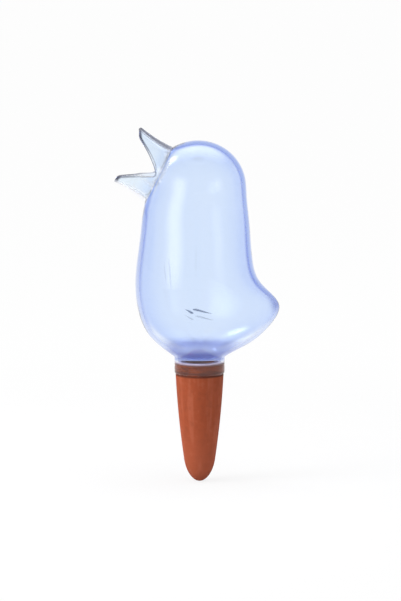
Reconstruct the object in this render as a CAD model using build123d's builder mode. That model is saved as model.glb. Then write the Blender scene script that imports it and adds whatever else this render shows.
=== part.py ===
from build123d import *

import os
from math import cos, radians, sin, sqrt, tan

# Plant waterer: a blown-glass bird whose neck stands on a hollow clay spike.
# Millimetres, +Z up. The origin is on the neck's axis at the clay shoulder, the soil line.
# The beak points to -X and the tail to +X.

# Clay spike
spike_length = 61.3
tip_length = 12.3
tip_start_radius = 8.7
spike_bow = 0.6
clay_wall = 3.0
tip_wall = 5.0
spigot_length = 7.0
spigot_wall = 3.3
shoulder_step = 0.6
shoulder_round = 0.5

# Glass neck
neck_radius = 14.1
neck_length = 10.0
glass_wall = 2.0
lip_round = 1.2
lip_inner_round = 0.3

# Fits between neck, seal and spigot
spigot_clearance = 0.3
seal_clearance = 0.1
seal_seat_clearance = 0.1
seal_depth = 1.4
seal_height = 1.4
seal_round = 0.4

# Front outline of the bird: reach from the neck's axis, and rise from the point below
bowl_rise = 14.0
bowl_reach = 29.8
belly_rise = 25.0
belly_reach = 36.0
chest_rise = 29.4
chest_reach = 33.1
throat_rise = 17.6
throat_reach = 30.7
brow_rise = 9.0
brow_reach = 28.0
crown_rise = 26.4

# Back outline: tail and nape
tail_floor_rise = 7.3
tail_floor_reach = 27.9
tail_keel_rise = 10.1
tail_keel_reach = 39.6
tail_tip_rise = 10.8
tail_tip_reach = 45.1
rump_rise = 13.0
rump_reach = 34.3
saddle_rise = 13.6
saddle_reach = 29.6
nape_drop = 20.0
nape_reach = 27.9
poll_reach = 26.2

# Side outline: half widths
bowl_half_width = 29.0
belly_half_width = 34.0
chest_half_width = 31.0
brow_half_width = 27.2
tail_pinch = 0.62

# Mouth and beak
mouth_depth = 22.75
mouth_tilt = 26.5
beak_wall = 1.8
beak_reach = 21.0
beak_flare = 0.3
beak_lift = 6.4
beak_waist = 11.0
beak_waist_dip = 0.8
beak_waist_tuck = 1.3
beak_waist_half_width = 10.5
beak_end_half_width = 7.5
beak_end_round = 12.0
upper_tip_width = 3.4
lower_tip_width = 4.0
point_round = 1.5
gape_root = 0.8
gape_rise = -0.3
gape_round = 2.4
upper_edge_bow = 0.8
lower_edge_bow = 0.9

# Heights worked out from the rises
bowl_height = neck_length + bowl_rise
belly_height = bowl_height + belly_rise
chest_height = belly_height + chest_rise
throat_height = chest_height + throat_rise
brow_height = throat_height + brow_rise
tail_floor_height = neck_length + tail_floor_rise
tail_keel_height = tail_floor_height + tail_keel_rise
tail_tip_height = tail_keel_height + tail_tip_rise
rump_height = tail_tip_height + rump_rise
saddle_height = rump_height + saddle_rise
nape_height = brow_height - nape_drop

# Radii worked out from the neck's bore
bore_radius = neck_radius - glass_wall
spigot_radius = bore_radius - spigot_clearance
spigot_bore_radius = spigot_radius - spigot_wall
seal_outer_radius = bore_radius - seal_clearance
seal_inner_radius = seal_outer_radius - seal_depth
rebate_radius = seal_inner_radius - seal_seat_clearance
shoulder_radius = neck_radius - shoulder_step
seal_ledge = spigot_length - seal_height

os.makedirs("parts", exist_ok=True)


# Clay spike: a bowed taper with a round tip, a flat shoulder and a rebated spigot
def clay_profile(inset, end):
    """Flank and tip of the spike, set in from the outside, drawn down to the height end."""
    flank_end = tip_length - spike_length
    flank = ThreePointArc(
        (shoulder_radius - inset, 0),
        ((shoulder_radius + tip_start_radius) / 2 + spike_bow - inset, flank_end / 2),
        (tip_start_radius - inset, flank_end),
    )
    start = Vector(tip_start_radius - inset, flank_end)
    slope = (shoulder_radius - tip_start_radius + 4 * spike_bow) / -flank_end
    drop = (flank_end - end) / 2
    tip = Bezier(start, start - Vector(slope * drop, drop), (start.X / 2, end), (0, end))
    return flank, tip


with BuildPart() as clay_cone:
    with BuildSketch(Plane.XZ):
        with BuildLine():
            clay_profile(0, -spike_length)
            Polyline(
                (0, -spike_length),
                (0, spigot_length),
                (rebate_radius, spigot_length),
                (rebate_radius, seal_ledge),
                (spigot_radius, seal_ledge),
                (spigot_radius, 0),
                (shoulder_radius, 0),
            )
        outline = make_face()
        fillet(outline.vertices().sort_by(Axis.X)[-1], shoulder_round)
    revolve(axis=Axis.Z)
    # The core that forms the hollow draws out through the spigot
    with BuildSketch(Plane.XZ):
        with BuildLine():
            clay_profile(clay_wall, tip_wall - spike_length)
            Polyline(
                (0, tip_wall - spike_length),
                (0, spigot_length),
                (shoulder_radius - clay_wall, spigot_length),
                (shoulder_radius - clay_wall, 0),
            )
        make_face()
        Rectangle(2 * spigot_bore_radius, 4 * spike_length, mode=Mode.INTERSECT)
    revolve(axis=Axis.Z, mode=Mode.SUBTRACT)
clay_cone.part.label = "clay_cone"
export_step(clay_cone.part, "parts/clay_cone.step")

# Seal: a soft ring on the spigot's ledge that fills the neck's bore
with BuildPart() as seal_ring:
    with BuildSketch(Plane.XZ) as seal_section:
        with Locations((seal_inner_radius, seal_ledge)):
            Rectangle(seal_depth, seal_height, align=(Align.MIN, Align.MIN))
        fillet(seal_section.vertices().group_by(Axis.X)[-1], seal_round)
    revolve(axis=Axis.Z)
seal_ring.part.label = "seal_ring"
export_step(seal_ring.part, "parts/seal_ring.step")

# Outlines of the bird: reach outwards against height
root_radius = neck_radius - glass_wall / 2
root_height = neck_length - glass_wall / 2
flare = (1.0, 0.75)
lean = (-0.3, 1.0)
upright = (0.0, 1.0)

with BuildLine(Plane.XZ) as front_line:
    Spline(
        (root_radius, root_height),
        (bowl_reach, bowl_height),
        (belly_reach, belly_height),
        (chest_reach, chest_height),
        (throat_reach, throat_height),
        (brow_reach, brow_height),
        tangents=(flare, lean),
        tangent_scalars=(1, 1),
    )

with BuildLine(Plane.XZ) as back_line:
    Spline(
        (root_radius, root_height),
        (tail_floor_reach, tail_floor_height),
        (tail_keel_reach, tail_keel_height),
        (tail_tip_reach, tail_tip_height),
        (rump_reach, rump_height),
        (saddle_reach, saddle_height),
        (nape_reach, nape_height),
        (poll_reach, brow_height),
        tangents=(flare, upright),
        tangent_scalars=(1, 1),
    )

with BuildLine(Plane.XZ) as side_line:
    Spline(
        (root_radius, root_height),
        (bowl_half_width, bowl_height),
        (belly_half_width, belly_height),
        (chest_half_width, chest_height),
        (brow_half_width, brow_height),
        tangents=(flare, upright),
        tangent_scalars=(1, 1),
    )


def inset_point(line, share, inset):
    """Point of an outline at a share of its length, moved in square to it."""
    edge = line.edges()[0]
    slope = edge.tangent_at(share)
    return edge.position_at(share) + Vector(-slope.Z, 0, slope.X) * inset


def reach_at(line, height, inset):
    """Reach of an outline, set in by the wall, at a height."""
    low = 0.0
    high = 1.0
    for step in range(40):
        middle = (low + high) / 2
        if inset_point(line, middle, inset).Z < height:
            low = middle
        else:
            high = middle
    return inset_point(line, low, inset).X


def egg_face(height, front, back, side):
    """Level section: a half circle at the breast, drawn out to a point at the tail."""
    centre = side - front
    behind = back - centre
    round_handle = 4 / 3 * (sqrt(2) - 1)
    stretch = max(behind / side - 1, 0.0)
    along = round_handle - tail_pinch * stretch / 2
    across = round_handle - tail_pinch * stretch
    nose = Vector(-front, 0)
    tail = Vector(back, 0)
    ahead = Vector(side * round_handle, 0)
    aft = Vector(behind * along, 0)
    with BuildSketch(Plane.XY.offset(height)) as level:
        with BuildLine():
            for width in (Vector(0, side), Vector(0, -side)):
                flank = Vector(centre, 0) + width
                Bezier(nose, nose + width * round_handle, flank - ahead, flank)
                Bezier(flank, flank + aft, tail + width * across, tail)
        make_face()
    return level.sketch


def bird_sections(inset):
    """Level sections from the neck to the brow and over the crown, set in by the wall."""
    lines = (front_line, back_line, side_line)
    start = max(inset_point(line, 0, inset).Z for line in lines)
    levels = 12
    sections = []
    for level in range(levels + 1):
        height = start + (brow_height - start) * (level / levels) ** 1.25
        sections.append(egg_face(height, *(reach_at(line, height, inset) for line in lines)))
    front, back, side = (brow_reach - inset, poll_reach - inset, brow_half_width - inset)
    centre = side - front
    for angle in (14, 28, 42, 56, 69, 81):
        share = cos(radians(angle))
        rise = (crown_rise - inset) * sin(radians(angle))
        reaches = ((front + centre) * share - centre, (back - centre) * share + centre, side * share)
        sections.append(egg_face(brow_height + rise, *reaches))
    sections.append(Vertex(centre, 0, brow_height + crown_rise - inset))
    return sections


# Mouth: a flat cut across the front of the head, tipped up
head_centre = Vector(brow_half_width - brow_reach, 0, brow_height)
mouth_normal = Vector(-cos(radians(mouth_tilt)), 0, sin(radians(mouth_tilt)))
mouth_up = Vector(sin(radians(mouth_tilt)), 0, cos(radians(mouth_tilt)))
mouth_plane = Plane(
    origin=head_centre + mouth_normal * mouth_depth, x_dir=mouth_up, z_dir=mouth_normal
)

with BuildPart() as bird_form:
    loft(sections=bird_sections(0))

mouth_face = section(bird_form.part, section_by=mouth_plane).faces()[0]
mouth_outline = mouth_plane.to_local_coords(mouth_face)
rim = mouth_outline.bounding_box()
mouth_centre = mouth_plane.from_local_coords(rim.center())
rim_half_height = rim.size.X / 2
rim_half_width = rim.size.Y / 2


def funnel_face(out, half_width, dip, tuck, inset):
    """The mouth's outline resized for a distance out of the mouth, drawn in by dip above and tuck below."""
    half_height = rim_half_height + out * tan(radians(beak_flare)) - (dip + tuck) / 2
    lift = out * tan(radians(beak_lift)) + (tuck - dip) / 2
    with BuildSketch(Plane.XY) as ring:
        add(mouth_outline.moved(Location(-rim.center())))
        scale(by=((half_height - inset) / rim_half_height, (half_width - inset) / rim_half_width, 1))
    seat = Plane(
        origin=mouth_centre + mouth_normal * out + mouth_up * lift,
        x_dir=mouth_up,
        z_dir=mouth_normal,
    )
    return seat * ring.sketch


with BuildPart() as glass_body:
    add(bird_form.part)
    with BuildSketch(Plane.XZ) as neck_section:
        Rectangle(neck_radius, neck_length + glass_wall / 2, align=(Align.MIN, Align.MIN))
        fillet(neck_section.vertices().sort_by_distance((neck_radius, 0))[0], lip_round)
    revolve(axis=Axis.Z)
    loft(sections=bird_sections(glass_wall), mode=Mode.SUBTRACT)
    with BuildSketch(Plane.XY):
        Circle(bore_radius)
    extrude(amount=neck_length + 2 * glass_wall, mode=Mode.SUBTRACT)
    lip_edges = glass_body.edges().filter_by(GeomType.CIRCLE).filter_by_position(Axis.Z, -0.01, 0.01)
    fillet(lip_edges.sort_by(SortBy.RADIUS)[0], lip_inner_round)
    split(bisect_by=mouth_plane, keep=Keep.BOTTOM)
    mouth_bore = funnel_face(0, rim_half_width, 0, 0, beak_wall)
    extrude(mouth_bore, amount=3 * glass_wall, dir=-mouth_normal, mode=Mode.SUBTRACT)
glass_body.part.label = "glass_body"
export_step(glass_body.part, "parts/glass_body.step")

# Beak: a funnel that carries on from the mouth's rim, drawn in at the sides and notched to two points
funnel_length = beak_reach + beak_wall


def funnel_sections(inset):
    """Base, waist and end of the funnel."""
    return [
        funnel_face(0, rim_half_width, 0, 0, inset),
        funnel_face(beak_waist, beak_waist_half_width, beak_waist_dip, beak_waist_tuck, inset),
        funnel_face(funnel_length, beak_end_half_width, 0, 0, inset),
    ]


upper_ridge = rim_half_height + beak_reach * tan(radians(beak_lift + beak_flare))
lower_ridge = -rim_half_height + beak_reach * tan(radians(beak_lift - beak_flare))
gape = Vector(gape_root, gape_rise)
upper_point = Vector(beak_reach, upper_ridge - upper_tip_width)
lower_point = Vector(beak_reach, lower_ridge + lower_tip_width)
side_plane = Plane(origin=mouth_centre, x_dir=mouth_normal, z_dir=(0, 1, 0))
plan_plane = Plane(origin=mouth_centre, x_dir=mouth_normal, z_dir=mouth_up)


def bowed_middle(start, end, bow):
    """Middle of a line, moved upwards square to it."""
    along = (end - start).normalized()
    return (start + end) / 2 + Vector(-along.Y, along.X) * bow


with BuildPart() as glass_beak:
    loft(sections=funnel_sections(0))
    loft(sections=funnel_sections(beak_wall), mode=Mode.SUBTRACT)
    # Seen from the side: two blunt points and a round gape
    with BuildSketch(side_plane) as gape_side:
        with BuildLine():
            Polyline(
                upper_point,
                (beak_reach, upper_ridge + beak_wall / 4),
                (0, rim_half_height + beak_wall / 4),
                (0, -rim_half_height - beak_wall / 4),
                (beak_reach, lower_ridge - beak_wall / 4),
                lower_point,
            )
            ThreePointArc(gape, bowed_middle(gape, upper_point, upper_edge_bow), upper_point)
            ThreePointArc(gape, bowed_middle(gape, lower_point, lower_edge_bow), lower_point)
        make_face()
        fillet(gape_side.vertices().sort_by_distance(gape)[0], gape_round)
        fillet(gape_side.vertices().group_by(Axis.X)[-1], point_round)
    extrude(amount=2 * rim_half_height, both=True, mode=Mode.INTERSECT)
    # Seen from above: a round end
    with BuildSketch(plan_plane):
        with BuildLine():
            Polyline(
                (beak_reach - beak_end_round, beak_end_round),
                (0, rim_half_width + beak_wall),
                (0, -rim_half_width - beak_wall),
                (beak_reach - beak_end_round, -beak_end_round),
            )
            ThreePointArc(
                (beak_reach - beak_end_round, -beak_end_round),
                (beak_reach, 0),
                (beak_reach - beak_end_round, beak_end_round),
            )
        make_face()
    extrude(amount=2 * (upper_ridge - lower_ridge), both=True, mode=Mode.INTERSECT)
glass_beak.part.label = "glass_beak"
export_step(glass_beak.part, "parts/glass_beak.step")
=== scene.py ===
import logging
import math
from dataclasses import dataclass, field
from enum import Enum
from typing import Any, NamedTuple, Optional, Sequence

import bmesh
import bpy
import numpy as np
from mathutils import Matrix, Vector


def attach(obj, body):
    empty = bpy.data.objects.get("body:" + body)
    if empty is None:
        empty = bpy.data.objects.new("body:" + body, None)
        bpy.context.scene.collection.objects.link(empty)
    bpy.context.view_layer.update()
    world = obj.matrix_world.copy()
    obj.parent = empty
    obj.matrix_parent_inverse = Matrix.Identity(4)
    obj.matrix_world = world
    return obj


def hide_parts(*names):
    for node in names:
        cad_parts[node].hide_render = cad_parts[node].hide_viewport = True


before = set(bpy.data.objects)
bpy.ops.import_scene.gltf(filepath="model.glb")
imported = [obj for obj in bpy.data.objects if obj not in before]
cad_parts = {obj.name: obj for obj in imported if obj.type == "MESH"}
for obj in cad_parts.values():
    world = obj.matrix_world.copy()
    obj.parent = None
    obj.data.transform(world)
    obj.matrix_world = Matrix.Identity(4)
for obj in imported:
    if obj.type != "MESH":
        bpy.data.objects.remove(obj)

LOG = logging.getLogger("plant_waterer")
MM = 0.001
TINY = 1e-6
COLUMNS = 80
SIDEWAYS = np.array((0.0, 1.0, 0.0))
WHITE = (1.0, 1.0, 1.0)
Colour = tuple[float, float, float]
Array = np.ndarray
Socket = bpy.types.NodeSocket
Piece = bpy.types.Object
Material = bpy.types.Material


class Body(Enum):
    """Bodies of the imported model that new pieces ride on."""

    BIRD = "bird"


class Slot(Enum):
    """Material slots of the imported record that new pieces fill."""

    BLUE_GLASS = "blue_glass"
    CLEAR_GLASS = "clear_glass"


class Layer(Enum):
    """Names of the whole-number marks that the modelled meshes carry."""

    COLUMN = "column"
    RING = "ring"


class Mark(Enum):
    """Names of the marks that finishes read on the glass.

    RIM is a thick rounded rim or the neck. On the clear beak it is painted shade: it makes the rims and
    ridge dark, for the dark that they refract. FUSED is a face that touches a neighbour all over. DEEP is
    glass gathered thick, and at the neck's root it is partly painted shade. LINING is the wall's inside.
    UNDER is a part that the table lights from below, where the painted dark edge is paler. EDGED is a part
    with a painted dark band at its edge. LIT is the part of the bowl with a painted white reflection of the
    table, and MELTED is glass that runs into its neighbour.
    """

    RIM = "rim"
    FUSED = "fused"
    DEEP = "deep"
    LINING = "lining"
    UNDER = "under"
    EDGED = "edged"
    LIT = "lit"
    MELTED = "melted"


class Fade(NamedTuple):
    """A fade from start, at the value low, to end, at the value high."""

    low: float
    high: float
    start: float = 0.0
    end: float = 1.0

    def over(self, values: Array) -> Array:
        """Fades an array straight, without easing."""
        return np.interp(values, (self.low, self.high), (self.start, self.end))


# Node graphs
class Graph:
    """A node tree with short calls to add nodes and join them."""

    def __init__(self, tree: bpy.types.NodeTree) -> None:
        """Takes a tree and empties it."""
        self.tree = tree
        tree.nodes.clear()

    def plug(self, socket: Socket, value: Any) -> None:
        """Links a socket to another socket, or sets its plain value.

        Args:
            socket: the input to feed.
            value: an output socket, a number, or a colour of three or four numbers.
        """
        if isinstance(value, Socket):
            self.tree.links.new(value, socket)
        elif socket.type == "RGBA" and len(value) == 3:
            socket.default_value = (*value, 1.0)
        else:
            socket.default_value = value

    def node(self, kind: str, inputs: Optional[dict] = None, **settings: Any) -> bpy.types.Node:
        """Adds a node.

        Args:
            kind: the node's type without its ShaderNode prefix.
            inputs: values or sockets by input name or number.
            settings: properties of the node.

        Returns:
            The new node.
        """
        made = self.tree.nodes.new(kind if kind.startswith("NodeGroup") else "ShaderNode" + kind)
        for name, value in settings.items():
            setattr(made, name, value)
        for name, value in (inputs or {}).items():
            self.plug(made.inputs[name], value)
        return made

    def mix(self, share: Any, first: Any, second: Any) -> Socket:
        """Mixes two colours by a share and returns the colour socket."""
        return self.node("Mix", {0: share, 6: first, 7: second}, data_type="RGBA").outputs[2]

    def layered(self, colour: Any, layers: Sequence[tuple[Any, Any]]) -> Any:
        """Lays colours over a first one.

        Args:
            colour: the first colour.
            layers: each layer's share and colour, in order.

        Returns:
            The last colour's socket.
        """
        for share, over in layers:
            colour = self.mix(share, colour, over)
        return colour

    def math(self, operation: str, first: Any, second: Any = 0.0) -> Socket:
        """Adds a Math node and returns its value socket."""
        return self.node("Math", {0: first, 1: second}, operation=operation).outputs[0]

    def times(self, first: Any, *others: Any) -> Any:
        """Multiplies values.

        Args:
            first: a number or a socket.
            others: what it is multiplied by.

        Returns:
            The product's socket.
        """
        for other in others:
            first = self.math("MULTIPLY", first, other)
        return first

    def rest(self, share: Any) -> Socket:
        """Returns what a share leaves of one."""
        return self.math("SUBTRACT", 1.0, share)

    def gap(self, first: Any, second: Any) -> Socket:
        """Returns how far two values lie apart."""
        return self.math("ABSOLUTE", self.math("SUBTRACT", first, second))

    def ramp(self, value: Any, low: float, high: float, start: float = 0.0,
             end: float = 1.0) -> Socket:
        """Fades a value with easing, from start at low to end at high."""
        made = self.node("MapRange", {0: value, 1: low, 2: high, 3: start, 4: end},
                         interpolation_type="SMOOTHSTEP")
        return made.outputs[0]

    def noise(self, vector: Any, scale: Any, detail: float = 3.0,
              roughness: float = 0.55) -> Socket:
        """Adds a Noise Texture and returns its value socket."""
        return self.node("TexNoise", {"Vector": vector, "Scale": scale, "Detail": detail,
                                      "Roughness": roughness}).outputs[0]

    def axes(self, vector: Any) -> Any:
        """Splits a coordinate into its X, Y and Z sockets."""
        return self.node("SeparateXYZ", {0: vector}).outputs

    def place(self) -> Socket:
        """Returns the Object coordinates."""
        return self.node("TexCoord").outputs["Object"]


class SurfaceLife:
    """Shared effect: slow unevenness, fine grain and long streaks over a surface."""

    name = "surface_life"
    grain_scale = 22.0
    streak_scale = 2.6

    @classmethod
    def group(cls) -> bpy.types.NodeTree:
        """Builds the node group once.

        Returns:
            The group, with a vector, a scale and a stretch as inputs.
        """
        found = bpy.data.node_groups.get(cls.name)
        if found:
            return found
        tree = bpy.data.node_groups.new(cls.name, "ShaderNodeTree")
        tree.interface.new_socket("Vector", in_out="INPUT", socket_type="NodeSocketVector")
        for name in ("Scale", "Stretch"):
            tree.interface.new_socket(name, in_out="INPUT", socket_type="NodeSocketFloat")
        for name in ("Cloud", "Grain", "Streak"):
            tree.interface.new_socket(name, in_out="OUTPUT", socket_type="NodeSocketFloat")
        graph = Graph(tree)
        entry = graph.node("NodeGroupInput")
        vector, scale, stretch = (entry.outputs[i] for i in range(3))
        across, away, up = graph.axes(vector)
        drawn = graph.node("CombineXYZ", {0: across, 1: away, 2: graph.times(up, stretch)}).outputs[0]
        graph.node("NodeGroupOutput", {
            "Cloud": graph.noise(vector, scale),
            "Grain": graph.noise(vector, graph.times(scale, cls.grain_scale), 4.0, 0.65),
            "Streak": graph.noise(drawn, graph.times(scale, cls.streak_scale), 2.0)})
        return tree

    @classmethod
    def outputs(cls, graph: Graph, vector: Any, scale: float, stretch: float) -> Any:
        """Places the group in a material, where a small stretch draws long streaks along Z."""
        values = {"Vector": vector, "Scale": scale, "Stretch": stretch}
        return graph.node("Group", values, node_tree=cls.group()).outputs


# Finishes
def new_material(name: str) -> tuple[Material, Graph]:
    """Makes an empty material.

    Args:
        name: the material's name.

    Returns:
        The material and its graph.
    """
    material = bpy.data.materials.new(name)
    material.use_nodes = True
    return material, Graph(material.node_tree)


@dataclass(frozen=True)
class Stroke:
    """A tooling line left in the glass: a short wave on the near wall.

    start and end are X and Z in millimetres, width its breadth where it is widest, and swell where
    along it that is, from 0 to 1. An upright line runs along Z, a lying one along X.
    """

    start: tuple[float, float]
    end: tuple[float, float]
    width: float
    swell: float
    depth: float
    upright: bool = False


@dataclass(frozen=True)
class GlassFinish:
    """Polished glass that deepens in colour with its thickness and where it is seen edge on. Its colour also
    holds painted light: a painted dark band at the edges, for the dark that the glass refracts there, and a
    painted white reflection of the table on the bowl.

    The edge, painted reflection, clear and melt fades follow how the glass faces the eye: 0 is seen square
    on and 1 edge on. The lining counts as facing the eye more than the outside does, by lining_shift.
    """

    name: str
    face: Colour
    turn: Colour
    edge: Colour
    edge_band: Fade
    edge_fade: float
    rim: Colour
    deep: Colour
    under_clear: Fade
    depth_colour: Colour
    shade: Colour
    waviness: float
    strokes: tuple[Stroke, ...] = ()
    stroke_colour: Colour = (0.07, 0.11, 0.22)
    stroke_away: Fade = Fade(-0.004, -0.010)
    stroke_relief: float = 0.25
    depth: float = 12.0
    turn_from: float = 0.03
    fade_gap: float = 0.08
    fade_end: float = 0.98
    # The next two fades place the painted white reflection of the table, by how the glass faces the eye.
    painted_reflection_rise: Fade = Fade(0.4, 0.5)
    painted_reflection_fall: Fade = Fade(0.68, 0.6)
    melt: Fade = Fade(0.7, 0.45)
    lining_shift: float = 0.16
    cloud_scale: float = 34.0
    stretch: float = 0.2
    streak: Fade = Fade(0.45, 0.75, end=0.35)
    streak_tint: float = 0.8
    smudge: Fade = Fade(0.4, 0.8, end=0.02)
    relief: float = 0.35
    relief_height: float = 0.0006

    def stroke_mask(self, graph: Graph, vector: Any) -> Socket:
        """Draws the tooling lines.

        Args:
            graph: the material's graph.
            vector: Object coordinates.

        Returns:
            The mask's socket.
        """
        across, away, up = graph.axes(vector)
        total: Any = 0.0
        for line in self.strokes:
            turn = -1 if line.upright else 1
            run, cross = (across, up)[::turn]
            (run_0, cross_0), (run_1, cross_1) = line.start[::turn], line.end[::turn]
            along = graph.node("MapRange", {0: run, 1: run_0 * MM, 2: run_1 * MM, 3: 0.0, 4: 1.0})
            share = along.outputs[0]
            off = graph.gap(cross, graph.ramp(share, 0.0, 1.0, cross_0 * MM, cross_1 * MM))
            skew = graph.math("POWER", share, math.log(0.5) / math.log(line.swell))
            taper = graph.math("SINE", graph.times(skew, math.pi))
            reach = graph.math("ADD", graph.times(taper, line.width * MM), TINY)
            inside = graph.math("MAXIMUM", graph.rest(graph.math("DIVIDE", off, reach)), 0.0)
            begun = graph.math("GREATER_THAN", run, run_0 * MM)
            unfinished = graph.math("LESS_THAN", run, run_1 * MM)
            total = graph.math("ADD", total, graph.times(inside, begun, unfinished, line.depth))
        near = graph.ramp(away, *self.stroke_away)
        return graph.math("MINIMUM", graph.times(total, near), 1.0)

    def edge_share(self, graph: Graph, facing: Any, under: Any, edged: Any) -> Socket:
        """Share of the edge colour: a painted dark band along the wall, paler in its outermost line.

        Args:
            graph: the material's graph.
            facing: nought seen square on, one seen edge on.
            under: one where the table lights the glass, which leaves no pale line.
            edged: the band's strength.

        Returns:
            The share's socket.
        """
        band = graph.ramp(facing, *self.edge_band)
        fade = graph.ramp(facing, self.edge_band.high + self.fade_gap, self.fade_end, 0.0, self.edge_fade)
        return graph.times(band, edged, graph.rest(graph.times(fade, graph.rest(under))))

    def material(self) -> Material:
        """Builds the material.

        Returns:
            The material.
        """
        material, graph = new_material(self.name)
        vector = graph.place()
        life = SurfaceLife.outputs(graph, vector, self.cloud_scale, self.stretch)
        marks = {mark: graph.node("Attribute", attribute_name=mark.value).outputs["Fac"] for mark in Mark}
        facing = graph.node("LayerWeight", {"Blend": 0.5}).outputs["Facing"]
        facing = graph.math("SUBTRACT", facing, graph.times(marks[Mark.LINING], self.lining_shift))
        # Painted reflection: streak is a band by facing. glow paints it white on the LIT part of the bowl,
        # for the table that the bowl mirrors.
        streak = graph.times(graph.ramp(facing, *self.painted_reflection_rise), graph.ramp(facing, *self.painted_reflection_fall))
        glow = graph.times(streak, marks[Mark.LIT])
        # Painted shade: edge is the share of a painted dark band at the edges, for the dark that the glass
        # refracts there.
        edge = self.edge_share(graph, facing, marks[Mark.UNDER], marks[Mark.EDGED])
        pale = tuple(1 - (1 - part) * self.streak_tint for part in self.face)
        # The colour holds painted light. glow paints the table's reflection white, and edge paints a dark
        # band at the edges. On the clear beak, RIM paints the rims and ridge dark as painted shade. On the
        # blue glass, RIM is the colourless neck.
        tint = graph.layered(self.face, (
            (graph.ramp(facing, self.turn_from, self.edge_band.low), self.turn),
            (graph.ramp(life["Streak"], *self.streak), pale),
            (glow, WHITE),
            (marks[Mark.DEEP], self.deep),
            (graph.times(edge, graph.rest(glow)), self.edge),
            (marks[Mark.RIM], self.rim)))
        height = graph.times(life["Cloud"], self.waviness)
        if self.strokes:
            tooled = self.stroke_mask(graph, vector)
            tint = graph.mix(tooled, tint, self.stroke_colour)
            height = graph.math("ADD", height, graph.times(tooled, self.stroke_relief))
        bump = graph.node("Bump", {"Strength": self.relief, "Distance": self.relief_height, "Height": height})
        thin = graph.times(graph.ramp(facing, *self.under_clear), marks[Mark.UNDER])
        melted = graph.times(marks[Mark.MELTED], graph.ramp(facing, *self.melt))
        gone = graph.math("MAXIMUM", graph.math("MAXIMUM", thin, marks[Mark.FUSED]), melted)
        glass = graph.node("BsdfPrincipled", {
            "Base Color": tint, "Roughness": graph.ramp(life["Streak"], *self.smudge), "IOR": 1.5,
            "Transmission Weight": 1.0, "Normal": bump.outputs[0], "Alpha": graph.rest(gone)})
        clear = graph.node("BsdfTransparent", {"Color": self.shade})
        shadow = graph.node("LightPath").outputs["Is Shadow Ray"]
        both = graph.node("MixShader", {0: shadow, 1: glass.outputs[0], 2: clear.outputs[0]})
        body = graph.node("VolumeAbsorption", {"Color": self.depth_colour, "Density": self.depth})
        graph.node("OutputMaterial", {"Surface": both.outputs[0], "Volume": body.outputs[0]})
        return material


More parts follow.
